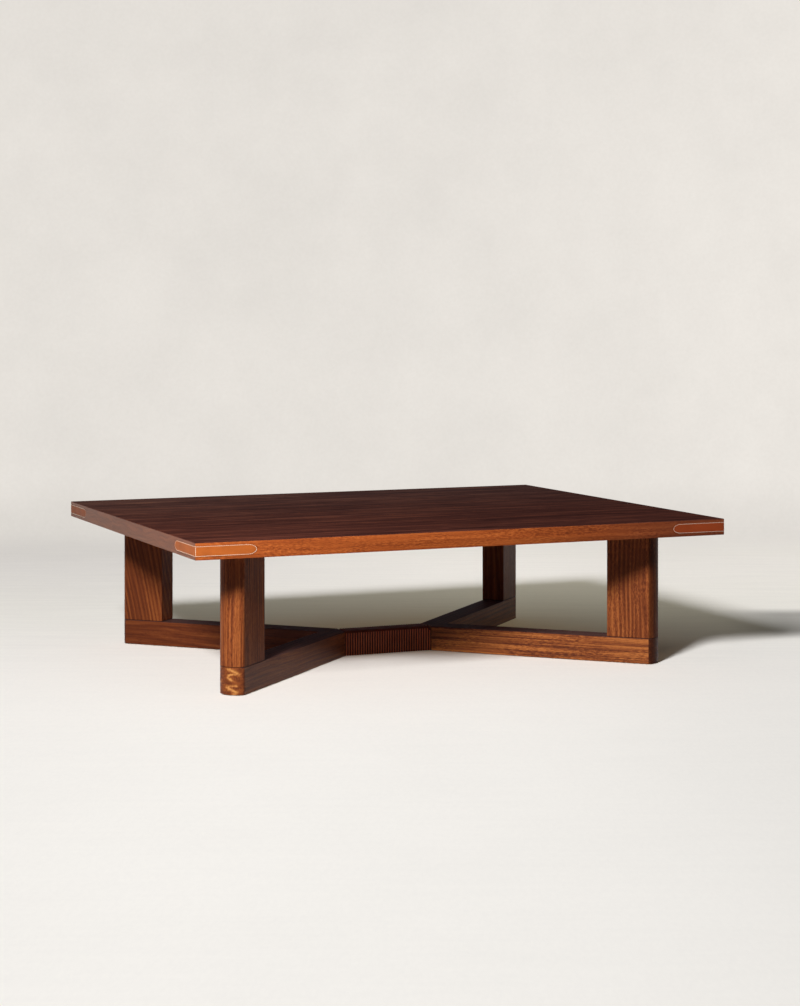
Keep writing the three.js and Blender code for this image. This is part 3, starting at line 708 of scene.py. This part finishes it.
def half_outline(reach):
    """Upper line of one wing of the band, from the arris to its tip: (t, z, outward normal in t and z)."""
    straight = reach - BAND_SHORTER
    steps = [ARRIS_ARC / 2 * i / ARRIS_STEPS for i in range(ARRIS_STEPS + 1)]
    run = straight - steps[-1]
    steps += [steps[-1] + run * (i + 1) / STRAIGHT_STEPS for i in range(STRAIGHT_STEPS)]
    line = [(t, LEATHER_HALF, (0.0, 1.0)) for t in steps]
    for i in range(1, TIP_STEPS + 1):
        a = math.pi / 2 * i / TIP_STEPS
        n = Vector((LEATHER_HALF * math.sin(a), LEATHER_TIP * math.cos(a))).normalized()
        line.append((straight + LEATHER_TIP * math.sin(a), LEATHER_HALF * math.cos(a), (n.x, n.y)))
    return line


def band_outline():
    """Upper half of the band's outline, from the tip on the end face to the tip on the long face."""
    end_wing = half_outline(LEATHER_END_REACH)
    long_wing = half_outline(LEATHER_REACH)
    return [(-t, z, (-n[0], n[1])) for t, z, n in reversed(end_wing[1:])] + long_wing


def leather_panel(corner):
    """The leather as a closed band: bordered face, cut edge and back."""
    outline = band_outline()
    count = len(outline)
    loop = outline + [(t, -z, (n[0], -n[1])) for t, z, n in reversed(outline[1:-1])]
    size = len(loop)
    vertices, faces = [], []
    for inset, height in BORDER:
        for t, z, n in loop:
            vertices.append(band_place(corner, t - n[0] * inset * MM, z - n[1] * inset * MM, height * MM))
    for i in range(len(BORDER) - 1):
        for j in range(size):
            k = (j + 1) % size
            faces.append((i * size + j, (i + 1) * size + j, (i + 1) * size + k, i * size + k))

    def ladder(start, turned):
        upper = [start + j for j in range(count)]
        lower = [start] + [start + size - j for j in range(1, count - 1)] + [start + count - 1]
        for j in range(count - 1):
            rung = [upper[j], upper[j + 1], lower[j + 1], lower[j]]
            corners_of_rung = [v for n, v in enumerate(rung) if v not in rung[:n]]
            faces.append(tuple(reversed(corners_of_rung)) if turned else tuple(corners_of_rung))

    ladder(0, False)
    ladder((len(BORDER) - 1) * size, True)
    if CORNERS[corner][0] * CORNERS[corner][1] < 0:
        faces = [tuple(reversed(face)) for face in faces]
    return vertices, faces


def stitch(corner, t, z, along_t, along_z, lift=0.0):
    """One stitch: a short thread that rises out of its hole and goes down into the next."""
    path = []
    for share, height in zip(STITCH_SHARES, STITCH_HEIGHTS):
        here_t, here_z = t + along_t * share * STITCH_LENGTH, z + along_z * share * STITCH_LENGTH
        place = band_place(corner, here_t, here_z, (height + lift) * MM)
        out = (band_place(corner, here_t, here_z, MM) - band_place(corner, here_t, here_z, 0)).normalized()
        ahead = band_place(corner, here_t + along_t * MM, here_z + along_z * MM, 0)
        along = (ahead - band_place(corner, here_t, here_z, 0)).normalized()
        path.append((place, out.cross(along).normalized(), out))
    turns = [2 * math.pi * i / STITCH_SIDES for i in range(STITCH_SIDES)]
    section = [(STITCH_RADIUS * math.cos(a), STITCH_RADIUS * STITCH_FLATNESS * math.sin(a)) for a in turns]
    return tube(path, section)


def stitching(corner):
    """Stitches along the border of one corner leather and down its arris."""
    line = [Vector((t - n[0] * STITCH_INSET, z - n[1] * STITCH_INSET)) for t, z, n in band_outline()]
    line += [Vector((p.x, -p.y)) for p in reversed(line[:-1])]
    lengths = [(b - a).length for a, b in zip(line, line[1:])]
    total = sum(lengths)
    count = round(total / STITCH_PITCH)
    parts = []
    for i in range(count):
        left = (i + 0.5) * total / count
        for a, b, length in zip(line, line[1:], lengths):
            if left <= length:
                spot = a.lerp(b, left / length)
                way = (b - a).normalized()
                parts.append(stitch(corner, spot.x, spot.y, way.x, way.y))
                break
            left -= length
    span = 2 * (LEATHER_HALF - STITCH_INSET) - STITCH_PITCH
    rows = round(span / STITCH_PITCH)
    for i in range(rows):
        parts.append(stitch(corner, 0.0, span * ((i + 0.5) / rows - 0.5), 0.0, 1.0, ARRIS_STITCH_LIFT))
    return join(parts)


def make_leathers():
    thread = fibrous("linen_thread", THREAD, 0.70, (0.0010, 0.0010, 0.0004), 8.0, THREAD_RELIEF)
    for k, corner in enumerate(CORNERS):
        hide = leather(f"saddle_leather_{corner}", HIDES[corner], 0.50, 1.4 * MM, 6.0 + k, 0.18)
        add_piece(f"leather_panel_{corner}", *leather_panel(corner), hide, "corner_leather",
                  replaced=(f"corner_leather_{corner}",))
        add_piece(f"leather_stitching_{corner}", *stitching(corner), thread, "corner_leather")


# Lacing

LACE_CORNER_STEPS = 6
LACE_SECTION_SHARES = [(-0.50, -0.32), (-0.44, -0.46), (-0.30, -0.50), (0.30, -0.50), (0.44, -0.46),
                       (0.50, -0.32), (0.50, 0.08), (0.43, 0.30), (0.25, 0.45), (0.0, 0.50), (-0.25, 0.45),
                       (-0.43, 0.30), (-0.50, 0.08)]

# Sides of the section between its points from the ninth to the eleventh, which stand highest and get the
# painted highlight. The other sides and the lace's upward faces get painted shade.
CROWN_SIDES = (8, 9)


def lace_route():
    """Left lace: (place, turn of its outer side) from the tuck in the back face to the tuck underneath."""
    points = []

    def bend(x, y, z, radius, start):
        for i in range(LACE_CORNER_STEPS + 1):
            turn = start - i / LACE_CORNER_STEPS * math.pi / 2
            points.append((Vector((x, y + radius * math.cos(turn), z + radius * math.sin(turn))), turn))

    def column(k):
        return (k - LACE_TURNS) * LACE_PITCH

    inner = LACE_HALF - LACE_CORNER
    start = LACE_HALF - LACE_BEND
    points.append((Vector((column(0), start - LACE_TUCK, LACE_TUCK_HEIGHT)), math.pi / 2))
    bend(column(0), start, LACE_TUCK_HEIGHT - LACE_BEND, LACE_BEND, math.pi / 2)
    for k in range(LACE_TURNS):
        bend(column(k), inner, -inner, LACE_CORNER, 0)
        bend(column(k), -inner, -inner, LACE_CORNER, -math.pi / 2)
        bend(column(k), -inner, inner, LACE_CORNER, -math.pi)
        bend(column(k + 1), inner, inner, LACE_CORNER, -3 * math.pi / 2)
    bend(column(LACE_TURNS), inner, -inner, LACE_CORNER, 0)
    bend(column(LACE_TURNS), LACE_TUCK_OFFSET + LACE_BEND, LACE_BEND - LACE_HALF, LACE_BEND, -math.pi / 2)
    end = LACE_BEND + LACE_TUCK - LACE_HALF
    points.append((Vector((column(LACE_TURNS), LACE_TUCK_OFFSET, end)), -math.pi))
    return points


def make_lacing():
    # The crown gets painted highlight, the sides, grooves and upward faces painted shade
    crown = leather("lace_leather_lit_crown", LACE_LIT_CROWN, 0.55, 0.9 * MM, 11.0, 0.05)
    groove = leather("lace_leather_shaded_groove", LACE_SHADED_GROOVE, 0.65, 0.9 * MM, 12.0, 0.02)
    section = [(a * LACE_WIDTH, b * LACE_THICKNESS) for a, b in LACE_SECTION_SHARES]
    for name, facing in (("left", 1), ("right", -1)):
        path = []
        for spot, turn in lace_route():
            place = Vector((facing * spot.x, facing * spot.y, RAIL_MIDDLE + spot.z))
            out = Vector((0, facing * math.cos(turn), math.sin(turn)))
            path.append((place, Vector((facing, 0, 0)), out))
        vertices, faces = tube(path, section)
        faces = [tuple(reversed(face)) for face in faces]
        lace = add_piece(f"leather_lace_{name}", vertices, faces, crown, "lace_leather",
                         replaced=(f"lace_{name}",))
        lace.data.materials.append(groove)
        count = len(section)
        for face in lace.data.polygons[:count * (len(path) - 1)]:
            crowned = face.index % count in CROWN_SIDES and face.normal.z < UPWARD_SHARE
            face.material_index = 0 if crowned else 1


# Screws in the slots of the head plates, which hold the top

SCREW_SIDES = 12
SCREW_ALONG = 55 * MM
SCREW_ACROSS = 45 * MM

# Radius and depth below the plate, in millimetres, from the shank over the head to the floor of its socket
SCREW_PROFILE = [(2.0, -2.0), (2.0, 0.0), (5.4, 0.0), (5.5, 0.5), (5.1, 1.6), (4.0, 2.3), (2.5, 2.5),
                 (2.3, 2.3), (2.3, 0.9)]
SCREW_SOCKET_RINGS = 3


def screw(place):
    """Domed screw head with a hexagonal socket, looking down."""
    vertices, faces = [], []
    for ring, (radius, depth) in enumerate(SCREW_PROFILE):
        for i in range(SCREW_SIDES):
            a = 2 * math.pi * i / SCREW_SIDES
            in_socket = ring >= len(SCREW_PROFILE) - SCREW_SOCKET_RINGS
            share = math.cos(math.pi / 6) if in_socket and i % 2 else 1.0
            spot = Vector((radius * share * math.cos(a), radius * share * math.sin(a), -depth))
            vertices.append(place + spot * MM)
    for ring in range(len(SCREW_PROFILE) - 1):
        for i in range(SCREW_SIDES):
            j = (i + 1) % SCREW_SIDES
            a, b = ring * SCREW_SIDES, (ring + 1) * SCREW_SIDES
            faces.append((a + i, b + i, b + j, a + j))
    faces.append(tuple(range(SCREW_SIDES)))
    faces.append(tuple(reversed([len(vertices) - SCREW_SIDES + i for i in range(SCREW_SIDES)])))
    return vertices, faces


def make_screws(steel):
    for corner, (sx, _) in CORNERS.items():
        out = direction_of(corner)
        side = Vector((-out.y, out.x, 0))
        middle = Vector((sx * BEAM_HALF, 0, TOP_LOW)) + out * (ARM_RUN.length - LEG_WIDTH / 2)
        heads = [screw(middle + out * a * SCREW_ALONG + side * b * SCREW_ACROSS)
                 for a in (-1, 1) for b in (-1, 1)]
        add_piece(f"plate_screws_{corner}", *join(heads), steel, "steel", smooth=False)


# Studio

def ray_kinds(graph):
    """Shares that are one for rays from the camera, and for rays of reflections."""
    rays = graph.tree.nodes.new("ShaderNodeLightPath").outputs
    mirrored = graph.math("MAXIMUM", rays["Is Glossy Ray"], rays["Is Transmission Ray"])
    return rays["Is Camera Ray"], mirrored


def share_of(graph, place, direction):
    return graph.node("VectorMath", place, tuple(direction), operation="DOT_PRODUCT", out=1)


def within(graph, values, ranges):
    """Product of the shares that values have over their ranges."""
    return graph.times(*(graph.spread(value, *each) for value, each in zip(values, ranges)))


def tinted(graph, tone, tint=PALE):
    """A tint, by itself the studio's warm white, at a given lightness."""
    return graph.mix(1.0, tint, graph.node("CombineColor", tone, tone, tone), "MULTIPLY")


# Where the wall's tone changes, upwards and to the right, and where its reflection grows pale. A range says
# from, to, and the shares at both, of which 0 and 1 go without saying.
WALL_UP = (0.0, 0.14, 1.0, 0.985)
WALL_ASIDE = (-0.05, 0.2, 0.982, 1.035)
PALE_AHEAD = (-0.15, 0.40)


def wall_tone(graph, direction):
    """Lightness of the mottled wall in a direction."""
    aside = share_of(graph, direction, VIEW_ASIDE)
    blotches = graph.noise(direction, (0.045, 0.045, 0.045), 2.0, 5.0, 0.65)
    speckle = graph.noise(direction, (0.0016, 0.0016, 0.0016), 4.0, 1.0)
    return graph.times(graph.spread(graph.part(direction, 2), *WALL_UP), graph.spread(aside, *WALL_ASIDE),
                       graph.line(blotches, 0.16, 0.92), graph.line(speckle, 0.05, 0.975))


def make_world():
    """Pale wall for the camera, pale ahead and dark behind the camera in reflections, and a dim even fill."""
    world = bpy.data.worlds.new("studio")
    bpy.context.scene.world = world
    graph = Graph(world)
    back = graph.tree.nodes["Background"]
    seen, mirrored = ray_kinds(graph)
    direction = graph.node("TexCoord", out=0)
    ahead = share_of(graph, direction, VIEW_AHEAD)
    reflected = graph.mix(graph.spread(ahead, *PALE_AHEAD), DARK_STUDIO, PALE_STUDIO)
    lit = graph.mix(mirrored, DIFFUSE_FILL, reflected)
    graph.put(back.inputs["Color"], graph.mix(seen, lit, tinted(graph, wall_tone(graph, direction))))


# Half the length of the floor's side
FLOOR_REACH = 30.0

# Ranges of the floor's tone and tint, in metres ahead of the table's middle or to its right
LIGHT_AHEAD = (-0.9, 2.6, 1.050, 0.885)
LIGHT_ASIDE = (0.25, 1.10, 1.010, 0.945)
TILT_AHEAD = (-1.5, 2.5, -0.060, 0.026)
BRUSHING_AHEAD = (-0.6, 0.5, 0.03, 0.13)
TINT_AHEAD = (0.4, 2.2)
WALL_AHEAD = (2.3, 3.4)
WALL_TONE_AHEAD = (2.6, 6.5, 0.90, 1.0)

# Near, far, left and right sides of the shadow's tail, and of the shade beside the right foot, which has a
# slanting near side
TAIL_SIDES = ((0.22, 0.42), (0.74, 0.92, 1.0, 0.0), (1.02, 1.30, 0.0, 0.53), (1.40, 2.60, 1.0, 0.0))
FOOT_SIDES = ((0.0, 0.12), (0.05, 0.30, 0.28, 0.0), (0.66, 0.72), (0.76, 1.0, 1.0, 0.0))
FOOT_SLOPE = -1.6
FOOT_START = 1.352


def floor_grain(graph, place, ahead, aside):
    """Lightness of the floor's blotches, brush marks and speckle."""
    flat = graph.node("CombineXYZ", aside, ahead, 0.0)
    blotches = graph.noise(place, (0.30, 0.30, 0.30), 1.0, 4.0, 0.6)
    brushing = graph.noise(flat, (0.40, 0.028, 1.0), 3.0, 3.0, 0.6)
    speckle = graph.noise(flat, (0.007, 0.022, 1.0), 5.0, 1.0)
    brushed = graph.times(graph.math("SUBTRACT", brushing, 0.5), graph.spread(ahead, *BRUSHING_AHEAD))
    grain = graph.line(blotches, 0.040, graph.math("ADD", brushed, 0.98))
    return graph.times(grain, graph.line(speckle, 0.040, 0.980))


def shadow_tail(graph, ahead, aside):
    """Share by which the floor is darker in the tail of the shadow, past the right end of the table."""
    return within(graph, (ahead, ahead, aside, aside), TAIL_SIDES)


def foot_shade(graph, ahead, aside):
    """Share by which the floor is darker beside the right foot, behind the front edge of the shadow."""
    behind = graph.line(aside, FOOT_SLOPE, graph.math("ADD", ahead, FOOT_START))
    return within(graph, (behind, ahead, aside, aside), FOOT_SIDES)


def floor_tone(graph, place, ahead, aside):
    """Lightness of the floor round the table."""
    even = within(graph, (ahead, graph.math("ABSOLUTE", aside)), (LIGHT_AHEAD, LIGHT_ASIDE))
    dark = graph.math("ADD", shadow_tail(graph, ahead, aside), foot_shade(graph, ahead, aside))
    tilt = graph.times(graph.spread(ahead, *TILT_AHEAD), aside)
    return graph.times(even, graph.math("SUBTRACT", 1.0, dark), floor_grain(graph, place, ahead, aside),
                       graph.math("ADD", tilt, 1.0))


def make_floor():
    """Pale floor that turns into the wall's tone far behind the table."""
    mesh = bpy.data.meshes.new("floor")
    sides = ((-1, -1), (1, -1), (1, 1), (-1, 1))
    mesh.from_pydata([(sx * FLOOR_REACH, sy * FLOOR_REACH, 0) for sx, sy in sides], [], [(0, 1, 2, 3)])
    floor = add_object("floor", mesh)
    graph = Graph(bpy.data.materials.new("studio_floor"))
    tree = graph.tree
    tree.nodes.remove(tree.nodes["Principled BSDF"])
    seen, mirrored = ray_kinds(graph)
    shown = graph.math("MAXIMUM", seen, mirrored)
    place = graph.node("NewGeometry", out=0)
    ahead = share_of(graph, place, VIEW_AHEAD)
    aside = share_of(graph, place, VIEW_ASIDE)
    near = floor_tone(graph, place, ahead, aside)
    tint = graph.mix(graph.spread(ahead, *TINT_AHEAD), NEAR_FLOOR, FAR_FLOOR)
    matt = graph.node("BsdfDiffuse", graph.mix(shown, FLOOR_BOUNCE, tinted(graph, near, tint)))
    # The wall's marks as they lie behind the floor in the photograph
    sight = graph.node("VectorMath", place, CAMERA_PLACE, operation="SUBTRACT")
    sight = graph.node("VectorMath", sight, operation="NORMALIZE")
    far = graph.times(graph.spread(ahead, *WALL_TONE_AHEAD), wall_tone(graph, sight))
    wall = graph.node("Emission", graph.mix(shown, DIFFUSE_FILL, tinted(graph, far)), 1.0)
    turned = graph.node("MixShader", graph.spread(ahead, *WALL_AHEAD), matt, wall)
    tree.links.new(turned, tree.nodes["Material Output"].inputs["Surface"])
    mesh.materials.append(graph.owner)
    floor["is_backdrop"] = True
    return floor


def add_lamp(name, data, place, receivers):
    """Lamp that lights only the given objects. It isn't turned, so its own directions are the world's."""
    lamp = add_object(name, data)
    lamp.location = place
    lit = bpy.data.collections.new(f"lit_by_{name}")
    for receiver in receivers:
        lit.objects.link(receiver)
    lamp.light_linking.receiver_collection = lit


FALLOFFS = {"quadratic": 0, "linear": 1, "constant": 2}


def key_lamp(name, place, radius, strength, falloff, reference, receivers, shape=None):
    """Round lamp that gives a white surface turned to it this strength at the reference distance.

    A lamp of no radius is a fill and casts no shadow.
    """
    data = bpy.data.lights.new(name, "POINT")
    data.energy = 4 * math.pi ** 2 * reference ** (2 - FALLOFFS[falloff]) * max(strength)
    data.color = shaded(strength, 1 / max(strength))
    data.shadow_soft_size = radius
    data.use_shadow = radius > 0
    graph = Graph(data)
    power = graph.node("LightFalloff", 1.0, 0.0, out=FALLOFFS[falloff])
    if shape:
        power = graph.times(power, shape(graph, graph.node("TexCoord", out=1)))
    graph.put(graph.tree.nodes["Emission"].inputs["Strength"], power)
    add_lamp(name, data, place, receivers)


# Least steepness of a lamp's ray that the floor's light is evened out for
LEAST_STEEPNESS = 0.15

# Share of the key light that gives way, far ahead, to the fill from the far side
FAR_SHARE = FAR_FILL_STRENGTH[0] / FLOOR_KEY_STRENGTH[0]

# Ranges over which the light from the far side grows, in metres ahead and to the right
FAR_LIGHT_AHEAD = (-0.2, 2.2)
FAR_LIGHT_RIGHT = (-0.1, 1.3, 0.82, 1.10)

# The patch of light before the hub: its fading to the right, its front, its back and its ends
HUB_RANGES = ((-0.12, 0.25, 1.0, 0.26), (-0.27, -0.12), (-0.10, 0.02, 1.0, 0.0), (0.30, 0.50, 1.0, 0.0))

# Slopes, Y to X, over which the key lamp's rays are dimmed
DIM_SLOPES = ((1.20, 1.46, 1.0, 0.64), (0.82, 1.05, 0.90, 1.0))


def floor_spot(graph, direction, lamp_place):
    """What makes up for the slant of a lamp's ray at the floor, and where it meets it: (factor, place)."""
    steep = graph.math("ABSOLUTE", graph.part(direction, 2))
    steep = graph.math("MAXIMUM", steep, LEAST_STEEPNESS)
    length = graph.math("DIVIDE", lamp_place.z, steep)
    run = graph.node("VectorMath", direction, None, None, length, operation="SCALE")
    place = graph.node("VectorMath", run, tuple(lamp_place), operation="ADD")
    return graph.math("DIVIDE", 1.0, steep), place


def share_from_far(graph, place):
    """Share of the light that comes from the far side of the room, which grows ahead."""
    return graph.spread(share_of(graph, place, VIEW_AHEAD), *FAR_LIGHT_AHEAD)


def key_over_floor(graph, direction):
    """Key light that gives way ahead to the light from the far side."""
    even, place = floor_spot(graph, direction, KEY_PLACE)
    return graph.times(even, graph.line(share_from_far(graph, place), -FAR_SHARE, 1.0))


def far_over_floor(graph, direction):
    """Fill that grows ahead and to the right."""
    even, place = floor_spot(graph, direction, FILL_PLACE)
    right = graph.spread(graph.part(place, 0), *FAR_LIGHT_RIGHT)
    return graph.times(even, graph.times(share_from_far(graph, place), right))


def fill_before_hub(graph, direction):
    """Fill that lightens the shadow in front of the hub."""
    even, place = floor_spot(graph, direction, FILL_PLACE)
    right = graph.part(place, 0)
    back = graph.part(place, 1)
    aside = graph.math("ABSOLUTE", right)
    return graph.times(even, within(graph, (right, back, back, aside), HUB_RANGES))


def dimmed_at_back_left(graph, direction):
    """Dims the light towards the back left leg, where the photograph is darkest."""
    slope = graph.math("DIVIDE", graph.part(direction, 1), graph.part(direction, 0))
    return within(graph, (slope, slope), DIM_SLOPES)


def make_lights(floor):
    tops = ("top_board_", "leather_panel_", "leather_stitching_")
    top = [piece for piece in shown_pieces() if piece.name.startswith(tops)]
    base = [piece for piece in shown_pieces() if not piece.name.startswith(tops)]
    right_arm = [piece for piece in base if piece.name == "arm_front_right"]
    rest = [piece for piece in base if piece not in right_arm]
    floor_lamps = (("key_on_floor", KEY_PLACE, KEY_RADIUS, FLOOR_KEY_STRENGTH, key_over_floor),
                   ("far_fill_on_floor", FILL_PLACE, 0.0, FAR_FILL_STRENGTH, far_over_floor),
                   ("hub_fill_on_floor", FILL_PLACE, 0.0, HUB_FILL_STRENGTH, fill_before_hub))
    for name, place, radius, strength, shape in floor_lamps:
        key_lamp(name, place, radius, strength, "constant", 1.0, [floor], shape)
    near_leg = Vector((-FOOT.x, -FOOT.y, TOP_LOW / 2))
    base_lamps = (("key_on_base", KEY_PLACE, rest), ("key_on_right_arm", ARM_KEY_PLACE, right_arm))
    for name, place, receivers in base_lamps:
        key_lamp(name, place, KEY_RADIUS, (BASE_KEY_STRENGTH,) * 3, "quadratic", (near_leg - place).length,
                 receivers, dimmed_at_back_left)
    near_corner = Vector((-HALF_LENGTH, -HALF_WIDTH, TOP_MIDDLE))
    key_lamp("key_on_top", TOP_KEY_PLACE, TOP_KEY_RADIUS, (TOP_KEY_STRENGTH,) * 3, "linear",
             (near_corner - TOP_KEY_PLACE).length, top)
    fill = bpy.data.lights.new("warm_fill_on_floor", "SUN")
    fill.energy = math.pi * max(WARM_FILL_STRENGTH)
    fill.color = shaded(WARM_FILL_STRENGTH, 1 / max(WARM_FILL_STRENGTH))
    fill.use_shadow = False
    add_lamp("warm_fill_on_floor", fill, (0, 0, 1), [floor])


make_camera()
dress_top()
dress_base()
steel = dress_inside()
make_leathers()
make_lacing()
make_screws(steel)
make_world()
make_lights(make_floor())

bpy.context.scene.view_settings.view_transform = "Standard"
